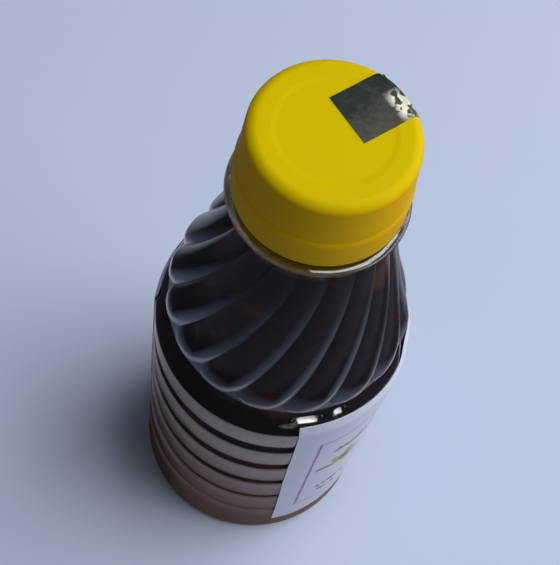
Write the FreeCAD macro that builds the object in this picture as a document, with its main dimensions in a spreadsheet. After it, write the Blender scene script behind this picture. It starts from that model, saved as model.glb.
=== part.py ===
import FreeCAD, Part
import Sketcher
import math
import os
import re

# A 200 ml PET bottle of mustard oil: fluted swirl shoulder, beaded body, standard 28 mm neck
# with a screw cap, a paper label round the body and a small foil square on the cap.
# Millimetres, +Z up. The origin is the middle of the foot, on the surface the bottle stands on.

GROOVES = 5

SIZES = (
    # the blown body
    ("body_radius", 27.2, "widest radius, at the crest of the beads"),
    ("wall", 0.6, "PET thickness of the body"),
    ("base_wall", 1.2, "PET thickness at the base"),
    ("heel_radius", 4.5, "rounding from the wall to the foot"),
    ("foot_width", 2.6, "flat ring that the bottle stands on"),
    ("pushup_height", 4.0, "rise of the dome under the base"),
    ("groove_low", 20.1, "height of the lowest lip, which hangs over a groove"),
    ("bead_pitch", 12.33, "height from one lip to the next"),
    ("lip_draw", 0.12, "how far a lip lies inside the crest of its bead"),
    ("crest_height", 3.6, "height from a lip to the crest of its bead"),
    ("groove_width", 0.6, "height of the rounded bottom of a groove, under its lip"),
    ("groove_depth", 1.15, "depth of a groove below the crests"),
    ("groove_radius", 0.8, "rounding of the bottom of a groove"),
    # the smooth band above the beads
    ("band_crest", 5.6, "height from the highest lip to the band's crest"),
    ("band_height", 15.8, "height from the highest lip to the band's upper edge"),
    ("band_draw", 2.45, "how far the band's upper edge lies inside the body's radius"),
    # the swirl that grows out of the band, over a plain turned core
    ("nose_tuck", 0.6, "depth below the band's edge at which the lobes' noses begin"),
    ("nose_overhang", 0.7, "how far the lobes' noses stand out beyond the band's edge"),
    ("nose_height", 2.4, "height over which a lobe's nose rounds off"),
    ("nose_drop", 1.1, "how far the nose tucks in at its foot"),
    ("slope_start", 3.4, "height above the noses' foot at which the crests turn into their slope"),
    ("slope_bend", 3.0, "height over which that turn is rounded"),
    ("lobe_depth", 1.35, "depth of the valleys between lobes, at the noses"),
    ("lobe_depth_top", 0.5, "depth of the valleys at the neck"),
    ("swirl_turn", 46.8, "degrees that the lobes turn from their noses to the neck"),
    ("swirl_start", -125.5, "bearing in degrees of one valley, at the noses"),
    ("swirl_sink", 0.8, "how far inside the neck's surface the lobes end"),
    ("core_step_height", 3.0, "height of the step in from the band to the core"),
    ("core_step_depth", 2.3, "depth of the step in from the band to the core"),
    ("core_lead", 12.0, "how far below the lobes' end the core has narrowed to the neck"),
    # the neck and its finish
    ("ring_height", 130.5, "height of the support ring's upper face"),
    ("neck_length", 2.5, "height from the lobes' end to the support ring's upper face"),
    ("bore_radius", 10.87, "inner radius of the mouth"),
    ("neck_wall", 2.13, "thickness of the neck below its ring"),
    ("finish_wall", 1.63, "thickness of the finish between its threads"),
    ("finish_height", 17.0, "height of the finish from the ring to the lip"),
    ("ring_reach", 4.0, "how far the support ring stands out from the finish"),
    ("ring_rim", 0.9, "thickness of the support ring at its rim"),
    ("ring_slope", 0.9, "extra thickness of the support ring at the neck"),
    ("thread_rise", 1.2, "room that the threads take outside the finish"),
    ("lock_rise", 1.45, "how far the bead that holds the tamper band stands out"),
    ("lock_height", 3.3, "height of that bead's lower edge above the ring"),
    ("lock_rim", 0.7, "height of that bead at its rim"),
    # the oil
    ("headspace", 26.0, "depth of the oil's surface below the lip"),
    ("oil_gap", 0.2, "clearance left between the oil and the wall"),
    # the cap
    ("cap_seat_gap", 0.05, "space between the lip and the cap's panel"),
    ("cap_thread_gap", 0.1, "space between the threads and the cap's skirt"),
    ("cap_lock_gap", 0.3, "space between the lock bead and the tamper band"),
    ("cap_ring_gap", 1.3, "space between the support ring and the tamper band"),
    ("cap_panel", 1.85, "thickness of the cap's top panel"),
    ("cap_top_wall", 0.8, "thickness of the skirt at its top, before rounding"),
    ("cap_skirt_wall", 1.35, "thickness of the skirt just above the tamper band"),
    ("cap_band_wall", 1.25, "thickness of the tamper band"),
    ("cap_band_height", 7.8, "height of the tamper band"),
    ("cap_edge_radius", 2.0, "rounding between the cap's top and its skirt"),
    ("slit_height", 0.35, "height of the slit between skirt and tamper band"),
    ("slit_depth", 0.5, "depth of that slit"),
    ("dish_rim", 4.1, "width of the raised rim round the shallow dish in the cap's top"),
    ("dish_depth", 0.25, "depth of that dish"),
    ("dish_slope", 0.6, "width of the slope round that dish"),
    # the paper label
    ("label_foot", 10.8, "height of the label's lower edge"),
    ("label_height", 69.7, "height of the label"),
    ("label_start", -67.3, "bearing in degrees of the label's leading edge"),
    ("label_wrap", 258.0, "degrees that the label reaches round the body"),
    ("label_paper", 0.18, "thickness of the label"),
    ("label_glue", 0.1, "space between the label and the crests it is stuck to"),
    ("label_dip", 0.12, "how far the label sinks between two crests that it spans"),
    # the foil square
    ("foil_width", 9.9, "width of the foil, across the cap's radius"),
    ("foil_reach", 11.5, "length of the foil in plan, over the cap's edge"),
    ("foil_inset", 2.6, "distance of its inner side from the cap's axis"),
    ("foil_shift", 0.75, "sideways distance of its middle from the cap's axis"),
    ("foil_bearing", 48.5, "bearing in degrees of the radius it lies across"),
    ("foil_sheet", 0.12, "thickness of the foil"),
    ("foil_glue", 0.05, "space between the foil and the cap"),
    ("foil_fold", 1.7, "how far the foil is folded down over the cap's edge"),
)

# sizes that several pieces share, worked out from the ones above
TOP_LIP = f"(groove_low + {GROOVES - 1} * bead_pitch)"
BAND_TOP = f"({TOP_LIP} + band_height)"
BAND_TOP_RADIUS = "(body_radius - band_draw)"
SWIRL_TOP = "(ring_height - neck_length)"
NECK_RADIUS = "(bore_radius + neck_wall)"
FINISH_RADIUS = "(bore_radius + finish_wall)"
LOCK_RADIUS = f"({FINISH_RADIUS} + lock_rise)"
LIP = "(ring_height + finish_height)"
CAP_BORE = f"({FINISH_RADIUS} + thread_rise + cap_thread_gap)"
CAP_TOP_RADIUS = f"({CAP_BORE} + cap_top_wall)"
CAP_SEAT = f"({LIP} + cap_seat_gap)"

LOBES = 16
SWIRL_STATIONS = 16
ALIASES = [alias for alias, value, meaning in SIZES]

doc = FreeCAD.newDocument("oil_bottle")
sheet = doc.addObject("Spreadsheet::Sheet", "Sizes")
for row, (alias, value, meaning) in enumerate(SIZES, start=1):
    sheet.set(f"A{row}", meaning)
    sheet.set(f"B{row}", str(value))
    sheet.setAlias(f"B{row}", alias)
doc.recompute()


def size(alias):
    return float(sheet.get(alias))


def sized(expression):
    """An expression of the sheet's aliases, written so that any object can be bound to it."""
    def full_name(word):
        return "Sizes." + word[0] if word[0] in ALIASES else word[0]

    return re.sub(r"[a-z_]+", full_name, expression)


def value_of(expression):
    return float(sheet.evalExpression(sized(expression)))


def bind(item, **expressions):
    """Binds properties to the sheet. A double underscore stands for the dot of a sub-property."""
    for name, expression in expressions.items():
        item.setExpression(name.replace("__", "."), sized(expression))
    return item


# ---------------------------------------------------------------- outlines

def bulge(chord, sagitta):
    """The radius of the arc over a chord, as an expression."""
    return f"(({chord})^2 / 4 + ({sagitta})^2) / (2 * ({sagitta}))"


def turn_in(shift, rise):
    """The radius of an arc that starts upright and has moved in by shift over a rise."""
    return f"((({shift})^2 + ({rise})^2) / (2 * ({shift})))"


def arc_centre(start, end, radius, side):
    """The centre of the arc from start to end. side is 1 where it lies left of the way, else -1."""
    chord = end - start
    rise = math.sqrt(max(radius ** 2 - (chord.Length / 2) ** 2, 0))
    left = FreeCAD.Vector(-chord.y, chord.x, 0).normalize()
    return start + chord * 0.5 + left * (rise * side)


def draw(sketch, corners):
    """A closed outline. Each corner is (radius, height) or (radius, height, arc radius, side), in
    expressions; the arc, if there is one, leads on to the next corner. Every corner and every arc is
    held by constraints that are bound to the sheet."""
    points = [FreeCAD.Vector(value_of(corner[0]), value_of(corner[1]), 0) for corner in corners]
    ends = []
    for index, corner in enumerate(corners):
        start, end = points[index], points[(index + 1) % len(points)]
        if len(corner) == 2:
            edge = sketch.addGeometry(Part.LineSegment(start, end), False)
            ends.append((edge, 1, 2))
            continue
        radius, side = value_of(corner[2]), corner[3]
        centre = arc_centre(start, end, radius, side)
        first, last = (start, end) if side > 0 else (end, start)
        angles = [math.atan2(p.y - centre.y, p.x - centre.x) for p in (first, last)]
        circle = Part.Circle(centre, FreeCAD.Vector(0, 0, 1), radius)
        edge = sketch.addGeometry(Part.ArcOfCircle(circle, *angles), False)
        ends.append((edge, 1, 2) if side > 0 else (edge, 2, 1))
        limit = sketch.addConstraint(Sketcher.Constraint("Radius", edge, radius))
        sketch.setExpression(f"Constraints[{limit}]", sized(corner[2]))
    for index, corner in enumerate(corners):
        edge, first, last = ends[index]
        before, unused, arrival = ends[index - 1]
        sketch.addConstraint(Sketcher.Constraint("Coincident", before, arrival, edge, first))
        for kind, expression, axis in (("DistanceX", corner[0], -2), ("DistanceY", corner[1], -1)):
            if expression == "0":
                sketch.addConstraint(Sketcher.Constraint("PointOnObject", edge, first, axis))
                continue
            place = value_of(expression)
            limit = sketch.addConstraint(Sketcher.Constraint(kind, -1, 1, edge, first, place))
            sketch.setExpression(f"Constraints[{limit}]", sized(expression))


def upright_sketch(name, corners):
    """An outline in the XZ plane, radius along X and height along Z."""
    sketch = doc.addObject("Sketcher::SketchObject", name)
    sketch.Placement = FreeCAD.Placement(
        FreeCAD.Vector(), FreeCAD.Rotation(FreeCAD.Vector(1, 0, 0), 90))
    draw(sketch, corners)
    return sketch


def turned(name, corners):
    """The outline turned once round the bottle's axis."""
    solid = doc.addObject("Part::Revolution", name)
    solid.Source = upright_sketch(name + "_outline", corners)
    solid.Axis = FreeCAD.Vector(0, 0, 1)
    solid.Angle = 360
    solid.Solid = True
    return solid


def joined(kind, name, base, tool):
    """The boolean of two objects: Fuse, Cut or Common."""
    result = doc.addObject("Part::" + kind, name)
    result.Base = base
    result.Tool = tool
    return result


def base_outline(inset, rise):
    """Dome, foot and heel, drawn inset from the outer surface and rise above it."""
    foot_outer = "(body_radius - heel_radius)"
    foot_inner = f"({foot_outer} - foot_width)"
    dome = f"(({foot_inner})^2 + pushup_height^2) / (2 * pushup_height)"
    return [
        ("0", f"pushup_height + {rise}", dome, -1),
        (foot_inner, rise),
        (foot_outer, rise, f"heel_radius - {inset}", 1),
    ]


def band_outline(inset):
    """The shoulder from the band's crest to its upper edge, in one arc."""
    radius = turn_in("band_draw", "band_height - band_crest")
    return [
        (f"body_radius - {inset}", f"{TOP_LIP} + band_crest", f"{radius} - {inset}", 1),
        (f"{BAND_TOP_RADIUS} - {inset}", BAND_TOP),
    ]


def bead_outline(inset):
    """The beads from the lowest crest to the band. Above its crest a bead leans in to the bottom of
    a groove, and the lip of the next bead hangs over it. An inset outline has its lips higher by
    the same inset."""
    crest = f"body_radius - {inset}"
    lean = turn_in("groove_depth", f"bead_pitch - crest_height - groove_width + {inset}")
    corners = []
    for bead in range(GROOVES):
        lip = f"groove_low + {bead} * bead_pitch + {inset}"
        to_crest = "crest_height" if bead < GROOVES - 1 else "band_crest"
        corners += [
            (crest, f"groove_low + {bead - 1} * bead_pitch + crest_height", lean, 1),
            (f"{crest} - groove_depth", f"{lip} - groove_width", "groove_radius", -1),
            (f"{crest} - lip_draw", lip, turn_in("lip_draw", f"{to_crest} - {inset}"), 1),
        ]
    return corners + band_outline(inset)


def body_outline(inset, rise, bore):
    """The turned surface from the base to the neck; the lobes are added over its core."""
    side = f"body_radius - {inset}"
    core = [
        (f"{BAND_TOP_RADIUS} - core_step_depth - {inset}", f"{BAND_TOP} + core_step_height"),
        (bore, f"{SWIRL_TOP} - core_lead"),
    ]
    heel = [(side, f"heel_radius - {inset} + {rise}")]
    return base_outline(inset, rise) + heel + bead_outline(inset) + core


# ---------------------------------------------------------------- the swirl

def lobed_ring(valley, crest, height, bearing):
    """One closed section of the swirl: as many outward arcs as there are lobes."""
    def spot(radius, degrees):
        angle = math.radians(degrees)
        return FreeCAD.Vector(radius * math.cos(angle), radius * math.sin(angle), height)

    step = 360 / LOBES
    arcs = []
    for lobe in range(LOBES):
        start = bearing + lobe * step
        arc = Part.Arc(spot(valley, start), spot(crest, start + step / 2), spot(valley, start + step))
        arcs.append(arc.toShape())
    return Part.Wire(arcs)


def swirl(name, inset_foot, inset_top):
    """The twisted, fluted cone of the shoulder. Its crests stand upright over the band and then
    turn into a straight slope; its noses tuck in at the foot with the curve of a quarter ellipse,
    and its valleys fade out towards the neck."""
    foot, top = value_of(f"{BAND_TOP} - nose_tuck"), value_of(SWIRL_TOP)
    foot_radius = value_of(f"{BAND_TOP_RADIUS} + nose_overhang")
    top_radius = value_of(f"{NECK_RADIUS} - swirl_sink")
    nose = size("nose_height")

    def run(height):
        """How far down the slope a crest is at a height."""
        above = height - foot - size("slope_start")
        return (above + math.hypot(above, size("slope_bend"))) / 2

    nose_part = [0.0, 0.12, 0.3, 0.6, 1.0]
    heights = [foot + nose * share for share in nose_part]
    climb = SWIRL_STATIONS - len(nose_part)
    heights += [foot + nose + (top - foot - nose) * ((index + 1) / climb) ** 1.3 for index in range(climb)]
    sections = []
    for height in heights:
        share = (height - foot) / (top - foot)

        def blend(low, high):
            return low + (high - low) * share

        tuck = max(0.0, 1 - (height - foot) / nose)
        drop = size("nose_drop") * (1 - math.sqrt(1 - tuck ** 2))
        fallen = (run(height) - run(foot)) / (run(top) - run(foot))
        crest = foot_radius - (foot_radius - top_radius) * fallen - drop
        crest -= blend(inset_foot, inset_top)
        depth = blend(size("lobe_depth"), size("lobe_depth_top"))
        bearing = size("swirl_start") + size("swirl_turn") * share
        sections.append(lobed_ring(crest - depth, crest, height, bearing))
    feature = doc.addObject("Part::Feature", name)
    feature.Shape = Part.makeLoft(sections, True, False)
    return feature


# ---------------------------------------------------------------- the bottle

def finish_outline():
    """The neck from its foot to the lip, and back down the axis: ring, lock bead and lip."""
    ring_radius = f"{FINISH_RADIUS} + ring_reach"
    lock = "ring_height + lock_height"
    return [
        (NECK_RADIUS, "ring_height - ring_rim - ring_slope"),
        (ring_radius, "ring_height - ring_rim"),
        (ring_radius, "ring_height"),
        (FINISH_RADIUS, "ring_height"),
        (FINISH_RADIUS, f"{lock} - lock_rise / 3"),
        (LOCK_RADIUS, lock),
        (LOCK_RADIUS, f"{lock} + lock_rim"),
        (FINISH_RADIUS, f"{lock} + lock_rim + lock_rise"),
        (FINISH_RADIUS, LIP),
        ("0", LIP),
    ]


def bottle():
    skin = turned("skin", body_outline("0", "0", NECK_RADIUS) + finish_outline())
    outside = joined("Fuse", "outside", skin, swirl("swirl_outside", 0, 0))
    mouth = [("bore_radius", f"{LIP} + finish_wall"), ("0", f"{LIP} + finish_wall")]
    hollow = turned("hollow", body_outline("wall", "base_wall", "bore_radius") + mouth)
    cavity = joined("Fuse", "cavity", hollow, swirl("swirl_cavity", size("wall"), size("neck_wall")))
    shell = joined("Cut", "bottle", outside, cavity)
    shell.Label = "bottle"
    return shell


# ---------------------------------------------------------------- the oil

def oil():
    gap = size("oil_gap")
    column = [("bore_radius - oil_gap", LIP), ("0", LIP)]
    filling = turned("filling", body_outline("(wall + oil_gap)", "(base_wall + oil_gap)",
                                             "bore_radius - oil_gap") + column)
    lobes = swirl("swirl_oil", size("wall") + gap, size("neck_wall") + gap)
    full = joined("Fuse", "full_bottle_of_oil", filling, lobes)
    below_level = doc.addObject("Part::Cylinder", "below_level")
    bind(below_level, Radius="2 * body_radius", Height=f"{LIP} - headspace")
    level = joined("Common", "oil", full, below_level)
    level.Label = "oil"
    return level


# ---------------------------------------------------------------- the cap

def cap_top_outline(outset):
    """The cap's upper surface from the axis to the foot of its rounded edge, in the cap's own
    heights, which count from the underside of its panel."""
    top = f"cap_panel + {outset}"
    dish_radius = f"{CAP_TOP_RADIUS} - dish_rim"
    return [
        ("0", f"{top} - dish_depth"),
        (f"{dish_radius} - dish_slope", f"{top} - dish_depth"),
        (dish_radius, top),
        (f"{CAP_TOP_RADIUS} - cap_edge_radius", top, f"cap_edge_radius + {outset}", -1),
        (f"{CAP_TOP_RADIUS} + {outset}", "cap_panel - cap_edge_radius"),
    ]


def cap():
    """A turned moulding in a body of its own, with the slit cut in as a groove."""
    body = doc.addObject("PartDesign::Body", "cap")
    body.Label = "cap"
    plane = [f for f in body.Origin.OriginFeatures if f.Role == "XZ_Plane"][0]
    band_foot = "cap_ring_gap - finish_height - cap_seat_gap"
    band_top = f"{band_foot} + cap_band_height"
    band_bore = f"{LOCK_RADIUS} + cap_lock_gap"
    band_radius = f"{band_bore} + cap_band_wall"
    skirt_radius = f"{CAP_BORE} + cap_skirt_wall"
    outer = [
        (skirt_radius, band_top),
        (band_radius, f"{band_top} - slit_height"),
        (band_radius, band_foot),
    ]
    inner = [
        (band_bore, band_foot),
        (band_bore, f"{band_top} - slit_height"),
        (CAP_BORE, band_top),
        (CAP_BORE, "0"),
        ("0", "0"),
    ]

    def sketch_of(name, corners):
        sketch = body.newObject("Sketcher::SketchObject", name)
        sketch.AttachmentSupport = (plane, "")
        sketch.MapMode = "FlatFace"
        draw(sketch, corners)
        return sketch

    profile = sketch_of("cap_outline", cap_top_outline("0") + outer + inner)
    moulding = body.newObject("PartDesign::Revolution", "moulding")
    moulding.Profile = profile
    moulding.ReferenceAxis = (profile, ["V_Axis"])
    moulding.Angle = 360
    doc.recompute()
    slit = sketch_of("slit_outline", [
        (f"{skirt_radius} - slit_depth", band_top),
        (f"{band_radius} + slit_depth", band_top),
        (f"{band_radius} + slit_depth", f"{band_top} + slit_height"),
        (f"{skirt_radius} - slit_depth", f"{band_top} + slit_height"),
    ])
    cut = body.newObject("PartDesign::Groove", "slit")
    cut.Profile = slit
    cut.ReferenceAxis = (slit, ["V_Axis"])
    cut.Angle = 360
    bind(body, Placement__Base__z=CAP_SEAT)
    return body


# ---------------------------------------------------------------- the two stickers

def sheet_outline(inner, outer):
    """The outline of a thin sheet that follows a surface: out along one side, back on the other."""
    def reversed_side(corners):
        arcs = [corner[2:] for corner in corners]
        back = []
        for index in range(len(corners) - 1, -1, -1):
            arc = arcs[index - 1] if index else ()
            back.append(corners[index][:2] + ((arc[0], -arc[1]) if arc else ()))
        return back

    return inner[:-1] + [inner[-1][:2]] + reversed_side(outer)


def label():
    """Paper that rests on the crests of the beads and on the band, and spans the grooves. A wedge of
    a cylinder stamps it out of a sheet that goes all the way round."""
    def side(outset):
        crest = f"body_radius + {outset}"
        low_crest = "groove_low - bead_pitch + crest_height"
        dip = f"{bulge('bead_pitch', 'label_dip')} - {outset}"
        dips = [(crest, f"{low_crest} + {bead} * bead_pitch", dip, -1) for bead in range(GROOVES)]
        last_dip = bulge("bead_pitch - crest_height + band_crest", "label_dip")
        dips[-1] = dips[-1][:2] + (f"{last_dip} - {outset}", -1)
        return [(crest, "heel_radius")] + dips + band_outline(f"(-({outset}))")

    ring = turned("label_ring", sheet_outline(side("label_glue"), side("label_glue + label_paper")))
    stamp = doc.addObject("Part::Cylinder", "label_stamp")
    bind(stamp, Radius="2 * body_radius", Height="label_height", Angle="label_wrap",
         Placement__Base__z="label_foot", Placement__Rotation__Angle="label_start")
    paper = joined("Common", "label", ring, stamp)
    paper.Label = "label"
    return paper


def foil():
    """A foil square stuck on the cap's top and folded over its rounded edge."""
    def side(outset):
        return [(r, f"{z} + {CAP_SEAT}", *arc) for r, z, *arc in cap_top_outline(outset)]

    shell = turned("foil_shell", sheet_outline(side("foil_glue"), side("foil_glue + foil_sheet")))
    stamp = doc.addObject("Part::Box", "foil_stamp")
    near_side = "(foil_shift - foil_width / 2)"
    bind(stamp, Length="foil_reach", Width="foil_width", Height="2 * foil_fold",
         Placement__Base__x=f"foil_inset * cos(foil_bearing) - {near_side} * sin(foil_bearing)",
         Placement__Base__y=f"foil_inset * sin(foil_bearing) + {near_side} * cos(foil_bearing)",
         Placement__Base__z=f"{CAP_SEAT} + cap_panel - foil_fold",
         Placement__Rotation__Angle="foil_bearing")
    square = joined("Common", "foil_sticker", shell, stamp)
    square.Label = "foil_sticker"
    return square


nodes = [bottle(), oil(), cap(), label(), foil()]
doc.recompute()

for item in doc.Objects:
    if "Invalid" in item.State or "Error" in item.State:
        raise RuntimeError(f"{item.Name} failed: {item.State}")
os.makedirs("parts", exist_ok=True)
for node in nodes:
    if node.Shape.isNull() or not node.Shape.isValid() or len(node.Shape.Solids) != 1:
        raise RuntimeError(f"{node.Label} isn't one valid solid")
for node in nodes:
    node.Shape.exportStep(f"parts/{node.Label}.step")
    print(node.Label, round(node.Shape.Volume), "mm3", node.Shape.BoundBox)
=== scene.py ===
import math
from collections import namedtuple

import bpy
import numpy as np
from mathutils import Matrix, Vector


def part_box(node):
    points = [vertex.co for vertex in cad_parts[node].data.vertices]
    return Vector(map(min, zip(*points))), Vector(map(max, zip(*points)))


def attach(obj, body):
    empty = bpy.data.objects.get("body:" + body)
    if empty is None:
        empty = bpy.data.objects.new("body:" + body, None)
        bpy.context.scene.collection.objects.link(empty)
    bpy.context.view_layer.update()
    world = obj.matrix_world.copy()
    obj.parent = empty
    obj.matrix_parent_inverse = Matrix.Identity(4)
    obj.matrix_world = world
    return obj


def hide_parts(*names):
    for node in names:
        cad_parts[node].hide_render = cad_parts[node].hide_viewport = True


# A small PET bottle of mustard oil: fluted swirl shoulder, beaded body, screw cap, paper label, foil.
# Lengths below are millimetres; MM brings them to metres where a mesh, lamp or camera is made.

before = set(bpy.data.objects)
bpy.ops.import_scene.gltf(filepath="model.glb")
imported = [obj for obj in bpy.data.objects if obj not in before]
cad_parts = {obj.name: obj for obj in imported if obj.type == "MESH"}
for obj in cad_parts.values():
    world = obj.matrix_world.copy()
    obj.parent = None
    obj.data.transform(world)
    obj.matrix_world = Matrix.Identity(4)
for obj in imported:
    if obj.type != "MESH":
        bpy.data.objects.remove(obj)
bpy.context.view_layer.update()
MM = 0.001


def low(node):
    """The lowest corner of a CAD node, in millimetres."""
    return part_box(node)[0] / MM


def high(node):
    """The highest corner of a CAD node, in millimetres."""
    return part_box(node)[1] / MM


# ---------------------------------------------------------------- sizes

BODY_RADIUS = high("bottle").x
LIP = high("bottle").z
OIL_LEVEL = high("oil").z
CAP_FOOT, CAP_TOP, CAP_RADIUS = low("cap").z, high("cap").z, high("cap").x
LABEL_FOOT, LABEL_TOP = low("label").z, high("label").z

# the bottle's foot, the straight wall above its heel, its beads and its band
WALL, BASE_WALL = 0.6, 1.2
HEEL_RADIUS, FOOT_WIDTH, PUSHUP = 4.5, 2.6, 4.0
STRAIGHT_RINGS = (HEEL_RADIUS + 2, HEEL_RADIUS + 4)
GROOVES = 5
LOW_LIP, BEAD_PITCH = 20.1, 12.33
TOP_LIP = LOW_LIP + (GROOVES - 1) * BEAD_PITCH
LIP_DRAW, CREST_HEIGHT = 0.12, 3.6
GROOVE_WIDTH = 0.6
BAND_CREST, BAND_HEIGHT, BAND_DRAW = 5.6, 15.8, 2.45
FLANK_START, FLANK_RADIUS = 7.4, 6.2
BAND_TOP = TOP_LIP + BAND_HEIGHT
SHOULDER_EDGE = TOP_LIP + 7.9
BAND_TOP_RADIUS = BODY_RADIUS - BAND_DRAW

# the swirl, and the plain core under it
LOBES = 16
RING_TOP = LIP - 17.0
SWIRL_FOOT, SWIRL_TOP = BAND_TOP - 0.6, RING_TOP - 2.5
SWIRL_FOOT_RADIUS, SWIRL_TOP_RADIUS = BAND_TOP_RADIUS + 0.55, 12.2
SLOPE_START, SLOPE_BEND = SWIRL_FOOT + 4.8, 3.2
LOBE_DEPTH, LOBE_DEPTH_TOP = 1.35, 0.5
SWIRL_START, SWIRL_TURN = -125.5, 46.8
NOSE_HEIGHT, NOSE_DROP = 2.4, 1.1
CORE_STEP_HEIGHT, CORE_STEP_DEPTH, CORE_LEAD = 3.0, 2.3, 12.0

# the neck, and how deep the oil lies under the outer surface, at the wall and at the base
BORE, NECK_RADIUS, FINISH_RADIUS, RING_RADIUS = 10.87, 13.0, 12.5, 16.5
OIL_INSET, BASE_OIL_INSET = 0.45, 0.9

# the cap: its top is dished inside the rim, and its skirt meets the tamper band at the step
CAP_TOP_RADIUS, CAP_SKIRT_RADIUS, CAP_EDGE = 14.6, 15.15, 2.0
CAP_RIM, CAP_STEP = CAP_TOP_RADIUS - 4.1, CAP_FOOT + 7.8
DISH, DISH_START, DISH_END = 0.1, CAP_RIM - 1.1, CAP_RIM + 0.1
CAP_SEAT = LIP + 0.05

# the foil on the cap, and the label on the beads: the label's bearings and skew are in degrees, and its
# two sides lie LABEL_INNER and LABEL_OUTER off the crests. The print's frame begins at PRINT_START.
FOIL_BEARING = math.radians(48.5)
FOIL_INNER, FOIL_LENGTH, FOIL_WIDTH, FOIL_SHIFT = 2.6, 11.3, 9.9, 0.75
FOIL_ABOVE, FOIL_THICKNESS = 0.12, 0.08
LABEL_START, LABEL_END, LABEL_SKEW = -67.3, 190.7, 3.4
LABEL_RISE, LABEL_SAG = 4.2, 0.11
LABEL_INNER, LABEL_OUTER = 0.06, 0.2
PRINT_START = -56

# hand marks in the soft wall: each spreads over about wide degrees and tall millimetres to either
# side, and stands out from the wall, or in where outward is below zero
Mark = namedtuple("Mark", "bearing height wide tall outward")
MARKS = (Mark(bearing=17, height=97, wide=24, tall=10, outward=-1.25),
         Mark(bearing=1, height=80, wide=8, tall=4, outward=-0.8),
         Mark(bearing=6, height=87.5, wide=5, tall=2.5, outward=0.35))

# creases beside the label: above a ledge the wall is pushed in by depth, and it is out again at fade
# above that. The glint is a painted highlight, a bright oval painted on the oil under the ledge. It lies
# at glint_reach from the axis, and spreads over glint_wide degrees and glint_deep millimetres to either
# side. A ledge is LEDGE tall, and its painted glint shows GLINT_TALL above and below its middle. The dim
# painted streak lies beside the longer crease.
Crease = namedtuple("Crease", "bearing height wide depth fade glint_reach glint_wide glint_deep")
CREASES = (Crease(bearing=-65.5, height=80.9, wide=5.6, depth=2.1, fade=3.0,
                  glint_reach=25.6, glint_wide=4.9, glint_deep=1.25),
           Crease(bearing=-50.6, height=81.6, wide=2.1, depth=1.9, fade=2.6,
                  glint_reach=25.5, glint_wide=2.0, glint_deep=1.2))
LEDGE, GLINT_TALL = 0.4, 0.32
DIM_BEARING, DIM_HEIGHT, DIM_WIDE, DIM_TALL = -74.2, 80.35, 4.6, 0.75

# where the columns of one lobe stand, from its valley at -1 to the next at 1: closer near the valleys
COLUMN_PARTS = tuple(math.sin(math.pi / 2 * t / 10) for t in range(-10, 10))


# ---------------------------------------------------------------- helpers for meshes

def lerp(a, b, share):
    return a + (b - a) * share


def smooth_step(low_end, high_end, value):
    share = np.clip((value - low_end) / (high_end - low_end), 0, 1)
    return share * share * (3 - 2 * share)


def soft_max(a, b, width):
    """The larger of two, with the crossing rounded over about that width."""
    return width * np.logaddexp(a / width, b / width)


def polar(radius, degrees, height):
    """Points of a grid, in millimetres, from radii, bearings and heights."""
    angle = np.radians(degrees)
    radius, angle, height = np.broadcast_arrays(radius, angle, height)
    return np.stack([radius * np.cos(angle), radius * np.sin(angle), height], axis=-1)


def new_piece(name, vertices, faces, replaced, material, sharp=None):
    """A piece of the bottle: a smooth mesh that rides on the root body and stands for a CAD node."""
    mesh = bpy.data.meshes.new(name)
    mesh.from_pydata((np.asarray(vertices) * MM).tolist(), [], faces)
    mesh.validate()
    mesh.shade_smooth()
    if sharp is not None:
        mesh.set_sharp_from_angle(angle=math.radians(sharp))
    piece = bpy.data.objects.new(name, mesh)
    bpy.context.scene.collection.objects.link(piece)
    mesh.materials.append(material)
    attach(piece, "root")
    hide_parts(replaced)


def turned_faces(rows, columns):
    """Quads between the rings of a turned grid, with a fan at each end: its first and last vertices
    are the poles on the axis."""
    def ring(row, column):
        return 1 + row * columns + column % columns

    last = 1 + rows * columns
    faces = [(0, ring(0, c + 1), ring(0, c)) for c in range(columns)]
    for row in range(rows - 1):
        for c in range(columns):
            faces.append((ring(row, c), ring(row, c + 1), ring(row + 1, c + 1), ring(row + 1, c)))
    faces += [(last, ring(rows - 1, c), ring(rows - 1, c + 1)) for c in range(columns)]
    return faces


def turned_piece(name, grid, poles, replaced, material, sharp=None):
    """A closed turned piece from a grid of rings (rows, columns, 3) and the heights of its poles."""
    rows, columns = grid.shape[:2]
    vertices = np.vstack([[[0, 0, poles[0]]], grid.reshape(-1, 3), [[0, 0, poles[1]]]])
    new_piece(name, vertices, turned_faces(rows, columns), replaced, material, sharp)


def sheet_piece(name, front, back, replaced, material, sharp=None):
    """A closed thin sheet from the grids of its two sides."""
    rows, columns = front.shape[:2]
    count = rows * columns
    vertices = np.vstack([front.reshape(-1, 3), back.reshape(-1, 3)])

    def at(row, column):
        return row * columns + column

    faces = []
    for r in range(rows - 1):
        for c in range(columns - 1):
            quad = (at(r, c), at(r, c + 1), at(r + 1, c + 1), at(r + 1, c))
            faces.append(quad)
            faces.append(tuple(count + v for v in reversed(quad)))
    rim = [at(0, c) for c in range(columns - 1)]
    rim += [at(r, columns - 1) for r in range(rows - 1)]
    rim += [at(rows - 1, c) for c in range(columns - 1, 0, -1)]
    rim += [at(r, 0) for r in range(rows - 1, 0, -1)]
    for here, there in zip(rim, rim[1:] + rim[:1]):
        faces.append((here, count + here, count + there, there))
    new_piece(name, vertices, faces, replaced, material, sharp)


# ---------------------------------------------------------------- helpers for materials

def new_material(name):
    """A material with a Principled shader: the material, its node tree and the shader."""
    material = bpy.data.materials.new(name)
    material.use_nodes = True
    tree = material.node_tree
    return material, tree, tree.nodes["Principled BSDF"]


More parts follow.
